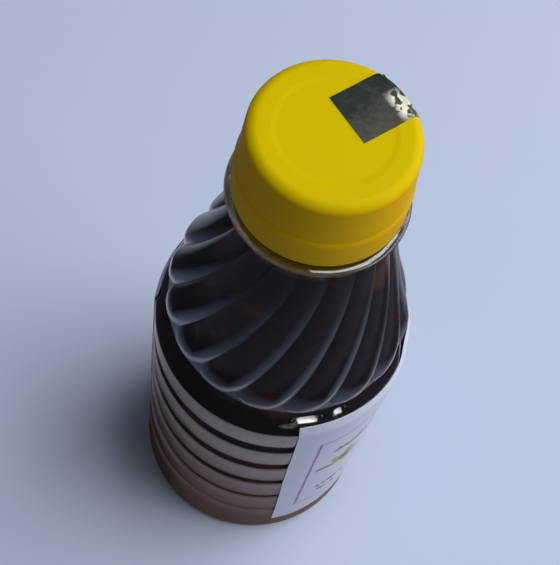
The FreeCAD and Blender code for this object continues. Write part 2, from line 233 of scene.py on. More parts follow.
def add(tree, kind, inputs=None, **settings):
    """A node of that kind with settings; an input's value is a number, a colour or another socket."""
    node = tree.nodes.new(kind)
    for name, value in settings.items():
        setattr(node, name, value)
    for name, value in (inputs or {}).items():
        if isinstance(value, bpy.types.NodeSocket):
            tree.links.new(value, node.inputs[name])
        else:
            node.inputs[name].default_value = value
    return node


def plug(tree, shader, **inputs):
    """Sets or links a shader's inputs, whose names are written with underscores."""
    for name, value in inputs.items():
        socket = shader.inputs[name.replace("_", " ")]
        if isinstance(value, bpy.types.NodeSocket):
            tree.links.new(value, socket)
        else:
            socket.default_value = value


def colour(red, green, blue):
    """A colour given as it looks on a screen, 0 to 255, as the linear one that shaders take."""
    def linear(value):
        share = value / 255
        return share / 12.92 if share <= 0.04045 else ((share + 0.055) / 1.055) ** 2.4

    return (linear(red), linear(green), linear(blue), 1.0)


def place(tree):
    """Where a point of the object is, in millimetres."""
    coordinates = add(tree, "ShaderNodeTexCoord").outputs["Object"]
    return add(tree, "ShaderNodeVectorMath", {0: coordinates, 1: (1 / MM,) * 3},
               operation="MULTIPLY").outputs[0]


def noise(tree, vector, scale, detail, roughness=0.5):
    """Noise about 0.5, whose largest waves come about scale times in a millimetre."""
    return add(tree, "ShaderNodeTexNoise",
               {"Vector": vector, "Scale": scale, "Detail": detail, "Roughness": roughness}
               ).outputs["Fac"]


def ramp(tree, value, stops):
    """A colour ramp: stops are (position, colour)."""
    node = add(tree, "ShaderNodeValToRGB", {"Fac": value})
    elements = node.color_ramp.elements
    while len(elements) < len(stops):
        elements.new(1.0)
    for element, (position, shade) in zip(elements, stops):
        element.position = position
        element.color = shade
    return node.outputs["Color"]


def ranged(tree, value, from_low, from_high, to_low=0.0, to_high=1.0):
    """A value brought from one range to another, and held at its ends."""
    return add(tree, "ShaderNodeMapRange",
               {"Value": value, "From Min": from_low, "From Max": from_high,
                "To Min": to_low, "To Max": to_high}).outputs["Result"]


def mixed(tree, share, first, second):
    """Two colours mixed by a share."""
    node = add(tree, "ShaderNodeMix", data_type="RGBA")
    for socket, value in ((node.inputs[0], share), (node.inputs[6], first), (node.inputs[7], second)):
        if isinstance(value, bpy.types.NodeSocket):
            tree.links.new(value, socket)
        else:
            socket.default_value = value
    return node.outputs[2]


def math_node(tree, operation, first, second=0.0):
    return add(tree, "ShaderNodeMath", {0: first, 1: second}, operation=operation).outputs[0]


def bump(tree, height, distance, strength):
    """A bumpy surface, with bumps as high as that distance in millimetres."""
    return add(tree, "ShaderNodeBump",
               {"Height": height, "Distance": distance * MM, "Strength": strength}).outputs["Normal"]


def axes_of(tree, vector):
    """The three parts of a vector."""
    return add(tree, "ShaderNodeSeparateXYZ", {0: vector}).outputs


def bearing_of(tree, axes):
    """The bearing of a point about the bottle's axis, in degrees from -180 to 180."""
    angle = math_node(tree, "ARCTAN2", axes[1], axes[0])
    return math_node(tree, "MULTIPLY", angle, 180 / math.pi)


def length_of(tree, across, over):
    """The length of a flat vector from its two parts, as a point's distance from the axis."""
    flat = add(tree, "ShaderNodeCombineXYZ", {0: across, 1: over}).outputs[0]
    return add(tree, "ShaderNodeVectorMath", {0: flat}, operation="LENGTH").outputs["Value"]


def within(tree, value, low_end, high_end, soft):
    """1 where a value lies between two ends and 0 outside them, with a change that soft at each end."""
    rising = ranged(tree, value, low_end - soft, low_end + soft)
    falling = ranged(tree, value, high_end - soft, high_end + soft, 1.0, 0.0)
    return math_node(tree, "MULTIPLY", rising, falling)


# ---------------------------------------------------------------- the bottle's outer surface

def turned_radius(height):
    """The body's radius without its lobes: beads, grooves, band and the core under the swirl."""
    above_lip = (height - LOW_LIP) % BEAD_PITCH
    groove = BEAD_PITCH - GROOVE_WIDTH
    bend = above_lip - FLANK_START
    flank = FLANK_RADIUS - np.sqrt(FLANK_RADIUS ** 2 - np.clip(bend, 0, groove - FLANK_START) ** 2)
    face = LIP_DRAW * (above_lip / CREST_HEIGHT - 1) ** 2
    deepest = FLANK_RADIUS - math.sqrt(FLANK_RADIUS ** 2 - (groove - FLANK_START) ** 2)
    ledge = lerp(deepest, LIP_DRAW, np.clip((above_lip - groove) / GROOVE_WIDTH, 0, 1) ** 2)
    inward = np.where(above_lip < CREST_HEIGHT, face, flank)
    inward = np.where(above_lip > groove, ledge, inward)
    lowest_crest = LOW_LIP - BEAD_PITCH + CREST_HEIGHT
    radius = np.where(height > lowest_crest, BODY_RADIUS - inward, BODY_RADIUS)
    crest = TOP_LIP + BAND_CREST
    lean = soft_max(0, height - SHOULDER_EDGE, 0.35) / (BAND_TOP - SHOULDER_EDGE)
    band = BODY_RADIUS - BAND_DRAW * (0.85 * lean + 0.15 * lean ** 2)
    band = band - LIP_DRAW * np.clip((crest - height) / BAND_CREST, 0, 1) ** 2
    radius = np.where(height > TOP_LIP, band, radius)
    step_foot = BAND_TOP + CORE_STEP_HEIGHT
    core_foot, core_top = BAND_TOP_RADIUS - CORE_STEP_DEPTH, SWIRL_TOP - CORE_LEAD
    step = lerp(BAND_TOP_RADIUS, core_foot, (height - BAND_TOP) / CORE_STEP_HEIGHT)
    core = lerp(core_foot, NECK_RADIUS, (height - step_foot) / (core_top - step_foot))
    core = np.where(height < step_foot, step, np.maximum(core, NECK_RADIUS))
    return np.where(height > BAND_TOP, core, radius)


def lobe_bearing(height):
    """How far the valleys have turned at a height, in degrees."""
    return SWIRL_TURN * np.clip((height - SWIRL_FOOT) / (SWIRL_TOP - SWIRL_FOOT), 0, 1)


def slope_run(height):
    """How far down the slope a crest is at a height."""
    above = height - SLOPE_START
    return (above + np.hypot(above, SLOPE_BEND)) / 2


def lobed_radius(height, part):
    """The swirl's radius above its foot. part runs from -1 to 1 across a lobe, valley to valley."""
    share = np.clip((height - SWIRL_FOOT) / (SWIRL_TOP - SWIRL_FOOT), 0, 1)
    tuck = np.clip(1 - (height - SWIRL_FOOT) / NOSE_HEIGHT, 0, 1)
    drop = NOSE_DROP * (1 - np.sqrt(1 - tuck ** 2))
    ends = slope_run(np.array([SWIRL_FOOT, SWIRL_TOP]))
    fallen = (slope_run(height) - ends[0]) / (ends[1] - ends[0])
    crest = lerp(SWIRL_FOOT_RADIUS, SWIRL_TOP_RADIUS, fallen) - drop
    valley = crest - lerp(LOBE_DEPTH, LOBE_DEPTH_TOP, share)
    return lerp(crest, valley, np.abs(part) ** 2.7)


def dents(height, bearing):
    """The hand marks and creases in the thin wall, as an amount to add to the radius."""
    def off_from(at_bearing):
        return (bearing - at_bearing + 180) % 360 - 180

    moved = 0
    for mark in MARKS:
        spread = (off_from(mark.bearing) / mark.wide) ** 2 + ((height - mark.height) / mark.tall) ** 2
        moved = moved + mark.outward * np.exp(-spread)
    for crease in CREASES:
        above = height - crease.height
        pushed = np.clip(above / LEDGE + 0.5, 0, 1) * (1 - smooth_step(LEDGE, crease.fade, above))
        spread = np.abs(off_from(crease.bearing) / crease.wide) ** 2.6
        moved = moved - crease.depth * pushed * np.exp(-spread)
    return moved


def body_radius(height, part, bearing):
    """The outer radius of the bottle from its heel to its neck."""
    smooth = turned_radius(height)
    lobes = lobed_radius(height, part)
    rounding = lerp(0.1, 0.4, np.clip((height - SWIRL_FOOT) / (SWIRL_TOP - SWIRL_FOOT), 0, 1))
    radius = np.where(height > SWIRL_FOOT, soft_max(smooth, lobes, rounding), smooth)
    return radius + dents(height, bearing)


def column_grid(heights):
    """For rings at those heights: heights, shares across the lobes and bearings of every vertex.
    The columns follow the valleys round, so that no valley is cut into steps."""
    heights = np.asarray(heights, float)[:, None]
    part = np.tile(COLUMN_PARTS, LOBES)[None, :]
    lobe = np.repeat(np.arange(LOBES), len(COLUMN_PARTS))[None, :]
    bearing = SWIRL_START + 360 / LOBES * (lobe + (part + 1) / 2) + lobe_bearing(heights)
    heights, part, bearing = np.broadcast_arrays(heights, part, bearing)
    return heights, part, bearing


def bead_heights(per_lean, per_rise, per_ledge):
    """Heights of the rings from the lowest crest to the top lip."""
    lean = [CREST_HEIGHT, *np.linspace(FLANK_START, BEAD_PITCH - GROOVE_WIDTH, per_lean)]
    ledge = np.linspace(BEAD_PITCH - GROOVE_WIDTH, BEAD_PITCH, per_ledge)[1:]
    rise = CREST_HEIGHT * np.linspace(0, 1, per_rise)[1:-1] ** 2
    rows = []
    for bead in range(GROOVES):
        lip = LOW_LIP + bead * BEAD_PITCH
        rows += list(lip - BEAD_PITCH + np.array(lean)) + list(lip - BEAD_PITCH + ledge)
        if bead < GROOVES - 1:
            rows += list(lip + rise)
    return rows


def shoulder_heights(low_band, band, nose, cone):
    """Heights of the rings from the top lip to the top of the swirl."""
    crest, nose_top = TOP_LIP + BAND_CREST, SWIRL_FOOT + 3.4
    rows = list(TOP_LIP + BAND_CREST * np.linspace(0, 1, low_band)[1:] ** 1.7)
    rows += list(np.linspace(crest, SWIRL_FOOT, band)[1:])
    rows += list(np.linspace(SWIRL_FOOT, nose_top, nose)[1:])
    rows += list(np.linspace(nose_top, SWIRL_TOP, cone)[1:])
    return rows


def thickening(heights):
    """How much thicker the shoulder's wall is than the body's, on its way up to the neck."""
    share = np.clip((np.array(heights) - BAND_TOP) / (SWIRL_TOP - BAND_TOP), 0, 1)
    return (NECK_RADIUS - BORE - WALL) * share


def base_rows(inset, rise, steps):
    """(radius, height) of the rings from the dome to the top of the heel, inset from the outer
    surface and rise above it."""
    foot_outer = BODY_RADIUS - HEEL_RADIUS
    foot_inner = foot_outer - FOOT_WIDTH
    rows = [(foot_inner * t, rise + PUSHUP * (1 - t ** 2)) for t in np.linspace(0.12, 0.96, steps)]
    rows.append((foot_inner + 0.3, rise + 0.02))
    rows.append(((foot_inner + foot_outer) / 2, rise))
    round_radius = HEEL_RADIUS - inset
    for turn in np.linspace(0, math.pi / 2, steps):
        rows.append((foot_outer + round_radius * math.sin(turn),
                     rise + round_radius * (1 - math.cos(turn))))
    return rows


def ring_rows(rows):
    """A grid from (radius, height) rows that are the same all round."""
    heights = np.array([height for radius, height in rows])
    radii = np.array([radius for radius, height in rows])[:, None]
    height, _, bearing = column_grid(heights)
    return polar(radii, bearing, height)


def body_rows(heights, inset):
    """A grid over the body, inset from its outer surface by a number or by one for each ring."""
    height, part, bearing = column_grid(heights)
    inset = np.broadcast_to(np.asarray(inset, float).reshape(-1, 1), (len(heights), 1))
    return polar(body_radius(height, part, bearing) - inset, bearing, height)


def finish_rows():
    """(radius, height) of the neck, its ring and its finish, up to the lip."""
    lock = RING_TOP + 3.3
    return [
        (NECK_RADIUS, SWIRL_TOP + 1.5), (NECK_RADIUS, RING_TOP - 2.1), (NECK_RADIUS + 0.2, RING_TOP - 1.8),
        (RING_RADIUS - 0.5, RING_TOP - 1.1), (RING_RADIUS - 0.2, RING_TOP - 1.0),
        (RING_RADIUS - 0.05, RING_TOP - 0.85), (RING_RADIUS, RING_TOP - 0.68),
        (RING_RADIUS - 0.04, RING_TOP - 0.52), (RING_RADIUS - 0.2, RING_TOP - 0.36),
        (RING_RADIUS - 0.45, RING_TOP - 0.22), (RING_RADIUS - 0.75, RING_TOP - 0.12),
        (RING_RADIUS - 1.1, RING_TOP - 0.05), (RING_RADIUS - 1.5, RING_TOP),
        (FINISH_RADIUS + 0.4, RING_TOP), (FINISH_RADIUS, RING_TOP + 0.3),
        (FINISH_RADIUS, lock - 0.3), (FINISH_RADIUS + 1.3, lock), (FINISH_RADIUS + 1.45, lock + 0.3),
        (FINISH_RADIUS + 1.35, lock + 0.7), (FINISH_RADIUS, lock + 2.1),
    ]


def thread_grid():
    """The helical thread of the finish, one and a half turns, fading in and out at its ends."""
    height, _, bearing = column_grid(np.arange(RING_TOP + 5.8, LIP - 1.2, 0.35))
    start, pitch, turns = RING_TOP + 8.0, 3.18, 1.5
    turned = np.arange(-1, 3)[:, None, None] + (bearing[None] - SWIRL_START) / 360
    centre = start + pitch * turned
    fade = smooth_step(0, 0.06, turned) * (1 - smooth_step(turns - 0.06, turns, turned))
    tooth = np.clip(1.15 - np.abs(height[None] - centre) * 1.1, 0, 1) * fade
    return polar(FINISH_RADIUS + tooth.max(axis=0), bearing, height)


def bottle_grid():
    """All rings of the shell: up the outside to the lip, and down the bore and the inside."""
    inner_shoulder = shoulder_heights(5, 24, 16, 14)[::-1]
    lip = [(FINISH_RADIUS, LIP - 0.8), (FINISH_RADIUS - 0.15, LIP - 0.2), (FINISH_RADIUS - 0.5, LIP),
           (BORE + 0.4, LIP), (BORE + 0.05, LIP - 0.2), (BORE, LIP - 1), (BORE, SWIRL_TOP + 6),
           (BORE, SWIRL_TOP + 1)]
    parts = [
        ring_rows(base_rows(0, 0, 8)),
        body_rows(STRAIGHT_RINGS, 0),
        body_rows(bead_heights(9, 7, 6), 0),
        body_rows(shoulder_heights(8, 64, 26, 26), 0),
        ring_rows(finish_rows()),
        thread_grid(),
        ring_rows(lip),
        body_rows(inner_shoulder, WALL + thickening(inner_shoulder)),
        body_rows(bead_heights(5, 4, 4)[::-1], WALL),
        body_rows(STRAIGHT_RINGS[::-1], WALL),
        ring_rows(base_rows(WALL, BASE_WALL, 5)[::-1]),
    ]
    return np.vstack(parts)


# ---------------------------------------------------------------- materials

# refractive indices, then what the clear wall tints and what it lets lamps pass, then shades
PET_INDEX, OIL_INDEX, CAP_INDEX, PAPER_INDEX = 1.575, 1.47, 1.45, 1.45
PET_TINT, LAMP_TINT = (0.93, 0.95, 0.97, 1), (0.9, 0.92, 0.94, 1)
PAPER_SHADE, PAPER_LIGHT = colour(190, 196, 216), colour(199, 204, 222)
FAR_TABLE = colour(184, 196, 220)


def pet_material():
    """Clear PET with fine scratches, tinted warm in the thick ring and gold at its lower outer edge as a
    painted reflection of the yellow cap. Lamps reach what is behind it."""
    material, tree, shader = new_material("clear_pet")
    spot = place(tree)
    axes = axes_of(tree, spot)
    ripple = noise(tree, spot, 0.12, 2.0)
    scuffs = noise(tree, spot, 2.2, 5.0, 0.65)
    relief = math_node(tree, "ADD", ripple, math_node(tree, "MULTIPLY", scuffs, 0.03))
    # painted reflection of the yellow cap: a warm tint over the thick ring, gold at its lower outer edge
    ring = within(tree, axes[2], RING_TOP - 2.0, RING_TOP + 0.1, 0.15)
    edge = math_node(tree, "MULTIPLY", within(tree, axes[2], RING_TOP - 1.9, RING_TOP - 0.56, 0.16),
                     ranged(tree, length_of(tree, axes[0], axes[1]), RING_RADIUS - 1.2, RING_RADIUS - 0.5))
    painted_gold_edge = math_node(tree, "MULTIPLY", edge, within(tree, bearing_of(tree, axes), -152, -62, 14.324))
    shade = mixed(tree, ring, PET_TINT, colour(236, 222, 190))
    shade = mixed(tree, painted_gold_edge, shade, colour(240, 172, 60))
    shoulder = within(tree, axes[2], BAND_TOP - 1, SWIRL_TOP, 1.5)
    rough = math_node(tree, "ADD", ranged(tree, scuffs, 0.35, 0.75, 0.03, 0.09),
                      math_node(tree, "MULTIPLY", shoulder, 0.08))
    rough = math_node(tree, "ADD", rough, math_node(tree, "MULTIPLY", painted_gold_edge, 0.3))
    plug(tree, shader, Base_Color=shade, Transmission_Weight=1.0, IOR=PET_INDEX, Roughness=rough,
         Normal=bump(tree, relief, 0.25, 0.6))
    path = add(tree, "ShaderNodeLightPath")
    passing = math_node(tree, "MAXIMUM", path.outputs["Is Shadow Ray"], path.outputs["Is Diffuse Ray"])
    clear = add(tree, "ShaderNodeBsdfTransparent", {"Color": LAMP_TINT})
    blend = add(tree, "ShaderNodeMixShader", {0: passing, 1: shader.outputs[0], 2: clear.outputs[0]})
    tree.links.new(blend.outputs[0], tree.nodes["Material Output"].inputs["Surface"])
    return material


def painted_lobe_sheen(tree, height, bearing):
    """Where the oil is painted pale, from 0 to 1, as a painted sheen for the wall's reflections: behind each
    lobe's trailing flank, in a streak that narrows upwards, and behind its nose."""
    turned = ranged(tree, height, SWIRL_FOOT, SWIRL_TOP, SWIRL_START, SWIRL_START + SWIRL_TURN)
    # two whole turns more keep it above zero
    past_valley = math_node(tree, "ADD", math_node(tree, "SUBTRACT", bearing, turned), 720.0)
    lobe = math_node(tree, "FRACT", math_node(tree, "DIVIDE", past_valley, 360 / LOBES))
    narrowing = ranged(tree, height, SWIRL_FOOT, SWIRL_TOP, 0.0, 0.2)
    flank = math_node(tree, "MULTIPLY",
                      ranged(tree, math_node(tree, "SUBTRACT", lobe, narrowing), 0.58, 0.8),
                      ranged(tree, lobe, 0.94, 1.0, 1.0, 0.2))
    painted_streak = math_node(tree, "MULTIPLY", flank, ranged(tree, height, SWIRL_TOP - 3, SWIRL_FOOT + 8))
    nose = ranged(tree, height, SWIRL_FOOT + 2.4, SWIRL_FOOT + 6.0, 1.0, 0.0)
    over_band = ranged(tree, height, SWIRL_FOOT, SWIRL_FOOT + 0.4)
    return math_node(tree, "MULTIPLY", over_band, math_node(tree, "MAXIMUM", painted_streak, nose))


def painted_crease_glints(tree, spot, axes, bearing):
    """Where the oil is painted bright over the creases of the wall, each from 0 to 1: the painted glints,
    ovals on their ledges, and the dim painted streak beside the longer one."""
    flecks = noise(tree, spot, 1.1, 3.0, 0.6)
    reach = length_of(tree, axes[0], axes[1])

    def oval(across, wide, over, tall, raggedness):
        """Below 1 inside an oval with a ragged edge, and above 1 outside it."""
        first = math_node(tree, "DIVIDE", across, wide)
        second = math_node(tree, "DIVIDE", over, tall)
        size = math_node(tree, "ADD", math_node(tree, "MULTIPLY", first, first),
                         math_node(tree, "MULTIPLY", second, second))
        return math_node(tree, "ADD", size, ranged(tree, flecks, 0.3, 0.7, -raggedness, raggedness))

    painted_glints = 0.0
    for crease in CREASES:
        across = math_node(tree, "SUBTRACT", bearing, crease.bearing)
        inward = math_node(tree, "SUBTRACT", reach, crease.glint_reach - OIL_INSET)
        size = oval(across, crease.glint_wide, inward, crease.glint_deep, 0.16)
        glint = math_node(tree, "MULTIPLY", ranged(tree, size, 0.7, 1.05, 1.0, 0.0),
                          within(tree, axes[2], crease.height - GLINT_TALL, crease.height + GLINT_TALL, 0.06))
        painted_glints = math_node(tree, "MAXIMUM", glint, painted_glints)
    across = math_node(tree, "SUBTRACT", bearing, DIM_BEARING)
    upward = math_node(tree, "SUBTRACT", axes[2], DIM_HEIGHT)
    size = oval(across, DIM_WIDE, upward, DIM_TALL, 0.3)
    painted_streak = math_node(tree, "MULTIPLY", ranged(tree, size, 0.55, 0.95, 1.0, 0.0),
                       ranged(tree, flecks, 0.36, 0.62, 0.15, 1.0))
    return painted_glints, painted_streak


def oil_material():
    """Dark mustard oil: nearly black in the shoulder and browner towards the foot, where its colour carries a
    painted glow of the light it lets through there, with spots of painted orange glow. Behind the lobes and
    over the creases it is painted pale, as painted sheen and painted glints."""
    material, tree, shader = new_material("dark_oil")
    spot = place(tree)
    axes = axes_of(tree, spot)
    bearing = bearing_of(tree, axes)
    cloud = noise(tree, spot, 0.09, 3.0)
    depth = math_node(tree, "ADD", ranged(tree, axes[2], 0, BAND_TOP + 30),
                      ranged(tree, cloud, 0.3, 0.7, -0.12, 0.12))
    # the oil's own dark brown, painted browner towards the foot as a painted glow of the light through it
    body = ramp(tree, depth, [
        (0.0, colour(104, 68, 50)), (0.12, colour(86, 56, 44)), (0.34, colour(62, 41, 37)),
        (0.62, colour(30, 23, 27)), (1.0, colour(20, 17, 20))])
    # orange-brown spots of painted glow, for light bent through the oil
    painted_glow_spots = ranged(tree, noise(tree, spot, 0.16, 2.0, 0.4), 0.6, 0.8, 0.0, 0.6)
    tinted = mixed(tree, painted_glow_spots, body, colour(84, 50, 32))
    # painted sheen behind the lobes and noses: painted paler on the bottle's left than on its right
    leftward = ranged(tree, math_node(tree, "DIVIDE", axes[0], -BODY_RADIUS), 0.3, 0.85)
    painted_edge_sheen = mixed(tree, leftward, colour(92, 95, 108), colour(160, 168, 198))
    tinted = mixed(tree, painted_lobe_sheen(tree, axes[2], bearing), tinted, painted_edge_sheen)
    # painted glints on the creases' ledges, and a dim painted streak beside the longer one
    painted_glints, painted_dim_streak = painted_crease_glints(tree, spot, axes, bearing)
    tinted = mixed(tree, math_node(tree, "MULTIPLY", painted_dim_streak, 0.5), tinted, colour(176, 176, 150))
    tinted = mixed(tree, painted_glints, tinted, colour(255, 255, 252))
    plug(tree, shader, Base_Color=tinted, Roughness=0.5, IOR=OIL_INDEX, Specular_IOR_Level=0.0)
    return material


def cap_material():
    """Moulded yellow polythene, satin, with a very fine grain; its side is painted more orange than its top,
    as painted shade.
    """
    material, tree, shader = new_material("yellow_cap")
    spot = place(tree)
    grain = noise(tree, spot, 3.5, 4.0, 0.6)
    upward = axes_of(tree, add(tree, "ShaderNodeNewGeometry").outputs["Normal"])[2]
    # the top painted paler yellow than the side, which is painted more orange as painted shade
    painted_top_tone = math_node(tree, "MULTIPLY", ranged(tree, upward, 0.1, 0.95),
                        ranged(tree, axes_of(tree, spot)[2], CAP_TOP - 3, CAP_TOP - 2))
    shade = mixed(tree, painted_top_tone, colour(206, 161, 0), colour(201, 178, 0))
    plug(tree, shader, Base_Color=shade, Roughness=ranged(tree, grain, 0.3, 0.7, 0.4, 0.52),
         IOR=CAP_INDEX, Specular_IOR_Level=0.03, Normal=bump(tree, grain, 0.03, 0.5))
    return material


def label_material():
    """Pale paper with a generic print: a thin frame, broken bars for lines of text, and a blossom. The
    print is laid out in millimetres, along the paper from the frame's left line and up from the table."""
    material, tree, shader = new_material("label_paper")
    spot = place(tree)
    fibre = noise(tree, spot, 1.6, 6.0, 0.7)
    axes = axes_of(tree, spot)
    angle = math_node(tree, "ARCTAN2", axes[1], axes[0])
    past_start = math_node(tree, "SUBTRACT", angle, math.radians(PRINT_START))
    along = math_node(tree, "MULTIPLY", past_start, BODY_RADIUS)
    up = axes[2]

    def block(left, right, foot, top, soft=0.2):
        return math_node(tree, "MULTIPLY", within(tree, along, left, right, soft),
                         within(tree, up, foot, top, soft))

    def either(*shares):
        largest = shares[0]
        for share in shares[1:]:
            largest = math_node(tree, "MAXIMUM", largest, share)
        return largest

    def print_over(ground, share, strength, ink):
        return mixed(tree, math_node(tree, "MULTIPLY", share, strength), ground, ink)

    frame_foot, frame_top, frame_end, line = 20, 68, 44, 0.4
    frame_line = either(block(0, 0.6, frame_foot, frame_top, 0.15),
                        block(0, frame_end, frame_top - line, frame_top, 0.12),
                        block(0, frame_end, frame_foot, frame_foot + line, 0.12))
    worn = ranged(tree, noise(tree, spot, 1.1, 4.0, 0.7), 0.28, 0.5)
    paper = mixed(tree, ranged(tree, fibre, 0.3, 0.7), PAPER_SHADE, PAPER_LIGHT)
    inked = print_over(paper, math_node(tree, "MULTIPLY", frame_line, worn), 0.95, colour(118, 84, 128))

    squeezed = add(tree, "ShaderNodeVectorMath", {0: spot, 1: (1.0, 1.0, 0.5)}, operation="MULTIPLY")
    breaks = ranged(tree, noise(tree, squeezed.outputs[0], 0.85, 2.0, 0.6), 0.42, 0.56)
    bars = either(block(5, 17, 56.5, 59.3), block(4.5, 13, 29, 31), block(4.5, 11, 25.2, 26.9))
    inked = print_over(inked, math_node(tree, "MULTIPLY", bars, breaks), 0.95, colour(56, 62, 82))

    blossom_along, blossom_up, petal_count, petal_reach = 9.4, 47.5, 5.0, 3.7
    across = math_node(tree, "SUBTRACT", along, blossom_along)
    over = math_node(tree, "SUBTRACT", up, blossom_up)
    reach = length_of(tree, across, over)
    turn = math_node(tree, "ARCTAN2", over, across)
    petals = math_node(tree, "COSINE", math_node(tree, "MULTIPLY", turn, petal_count))
    outline = math_node(tree, "ADD", petals, petal_reach)
    blossom = ranged(tree, math_node(tree, "SUBTRACT", reach, outline), -0.3, 0.4, 1.0, 0.0)
    heart = ranged(tree, reach, 1.2, 1.7, 1.0, 0.0)
    leaf = math_node(tree, "MULTIPLY", within(tree, across, -7.2, -3.6, 0.4),
                     within(tree, over, -2.2, -0.2, 0.5))
    inked = print_over(inked, blossom, 0.85, colour(158, 158, 84))
    inked = print_over(inked, heart, 0.8, colour(92, 112, 72))
    inked = print_over(inked, leaf, 0.85, colour(82, 122, 96))
    plug(tree, shader, Base_Color=inked, Roughness=0.6, IOR=PAPER_INDEX,
         Normal=bump(tree, fibre, 0.05, 0.4))
    return material


def foil_material():
    """Printed security foil: dark green towards its left, greyer and browner towards its right, and bare
    metal in flecks at the cap's edge, painted near white as painted glints.
    """
    material, tree, shader = new_material("silver_foil")
    spot = place(tree)
    axes = axes_of(tree, spot)
    bearing_x, bearing_y = math.cos(FOIL_BEARING), math.sin(FOIL_BEARING)
    outward = math_node(tree, "ADD", math_node(tree, "MULTIPLY", axes[0], bearing_x),
                        math_node(tree, "MULTIPLY", axes[1], bearing_y))
    sideways = math_node(tree, "SUBTRACT", math_node(tree, "MULTIPLY", axes[1], bearing_x),
                         math_node(tree, "MULTIPLY", axes[0], bearing_y))
    rightward = math_node(tree, "SUBTRACT", axes[0], math_node(tree, "MULTIPLY", axes[1], 0.6))
    lacquer = noise(tree, spot, 0.9, 5.0, 0.7)
    crumple = noise(tree, spot, 0.55, 4.0, 0.6)
    # darker green towards the left of the foil, greyer and browner towards the right
    lie = math_node(tree, "ADD", ranged(tree, rightward, -6.0, 8.0),
                    ranged(tree, lacquer, 0.3, 0.7, -0.2, 0.2))
    shade = ramp(tree, lie, [(0.0, colour(6, 26, 14)), (0.35, colour(22, 32, 25)),
                             (0.7, colour(60, 62, 56)), (1.0, colour(72, 68, 48))])
    # bare metal in flecks near the cap's edge, painted near white: bare metal and a painted glint
    bare_and_glints = math_node(tree, "MULTIPLY", ranged(tree, outward, 10.2, 11.6),
                     within(tree, sideways, -3.9, 1.2, 0.9))
    flecks = ranged(tree, noise(tree, spot, 0.8, 1.0, 0.4), 0.47, 0.54)
    bare_and_glints = math_node(tree, "MULTIPLY", bare_and_glints, flecks)
    shade = mixed(tree, bare_and_glints, shade, colour(244, 242, 222))
    plug(tree, shader, Base_Color=shade, Metallic=ranged(tree, bare_and_glints, 0, 1, 0.25, 0.85),
         Roughness=ranged(tree, crumple, 0.3, 0.7, 0.36, 0.5), Normal=bump(tree, crumple, 0.14, 0.5))
    return material


# ---------------------------------------------------------------- the pieces

def make_bottle():
    turned_piece("bottle_shell", bottle_grid(), (PUSHUP, PUSHUP + BASE_WALL),
                 "bottle", pet_material())


def make_oil():
    """The oil reaches just into the wall, so that no air shows between the two, and ends level."""
    edge = OIL_LEVEL - 0.15
    shoulder = [h for h in shoulder_heights(5, 24, 16, 14) if h < OIL_LEVEL - 0.3] + [edge]
    inset = OIL_INSET + thickening(shoulder)
    top = body_rows([edge], inset[-1])
    level = np.stack([top[0] * (share, share, 0) + (0, 0, OIL_LEVEL) for share in (0.99, 0.66, 0.33)])
    grid = np.vstack([
        ring_rows(base_rows(OIL_INSET, BASE_OIL_INSET, 6)),
        body_rows(STRAIGHT_RINGS, OIL_INSET),
        body_rows(bead_heights(5, 4, 4), OIL_INSET),
        body_rows(shoulder, inset),
        level,
    ])
    turned_piece("oil_body", grid, (PUSHUP + BASE_OIL_INSET, OIL_LEVEL), "oil", oil_material())


def cap_top(reach):
    """The height of the cap's dished top at a reach from the axis."""
    return CAP_TOP - DISH + DISH * smooth_step(DISH_START, DISH_END, reach)


def cap_profile():
    """(radius, height) round the cap's section, from the middle of its top to that of its underside."""
    skirt, band, step = CAP_SKIRT_RADIUS, CAP_RADIUS, CAP_STEP
    band_bore, skirt_bore, seat_radius = band - 1.25, 13.8, 13.7
    reaches = [CAP_RIM * t for t in (0.15, 0.35, 0.55, 0.7, 0.8, 0.86)]
    reaches += list(np.linspace(DISH_START, DISH_END, 9))
    reaches += [CAP_RIM + out for out in (0.3, 0.9, 1.5, 1.9)]
    rows = [(reach, cap_top(reach)) for reach in reaches]
    for turn in np.linspace(0, math.pi / 2, 14):
        rows.append((CAP_TOP_RADIUS - CAP_EDGE + CAP_EDGE * math.sin(turn),
                     CAP_TOP - CAP_EDGE + CAP_EDGE * math.cos(turn)))
    for share in (0.1, 0.3, 0.5, 0.7, 0.85, 0.93):
        rows.append((lerp(CAP_TOP_RADIUS, skirt, share), lerp(CAP_TOP - CAP_EDGE, step, share)))
    rows += [(skirt, step + 0.3), (skirt - 0.02, step + 0.1), (skirt - 0.04, step - 0.08),
             (skirt - 0.03, step - 0.2), (skirt + 0.03, step - 0.34), (skirt + 0.09, step - 0.48),
             (skirt + 0.16, step - 0.7), (band - 0.1, step - 1.05), (band - 0.02, step - 1.5),
             (band, step - 2.1)]
    rows += [(band, lerp(step, CAP_FOOT, share)) for share in (0.3, 0.6, 0.9)]
    rows += [(band - 0.05, CAP_FOOT + 0.15), (band - 0.2, CAP_FOOT), (band - 1.05, CAP_FOOT),
             (band_bore, CAP_FOOT + 0.2), (band_bore, step - 0.4), (skirt_bore, step + 0.1)]
    rows += [(skirt_bore, CAP_SEAT - 1), (seat_radius, CAP_SEAT)]
    rows += [(seat_radius * t, CAP_SEAT) for t in (0.8, 0.5, 0.2)]
    return rows


def make_cap():
    rows = cap_profile()
    columns = 240
    bearing = np.arange(columns)[None, :] * (360 / columns)
    radius = np.array([r for r, z in rows])[:, None]
    height = np.array([z for r, z in rows])[:, None]
    turned_piece("cap_moulding", polar(radius, bearing, height)[:, ::-1], (CAP_TOP - DISH, CAP_SEAT),
                 "cap", cap_material())


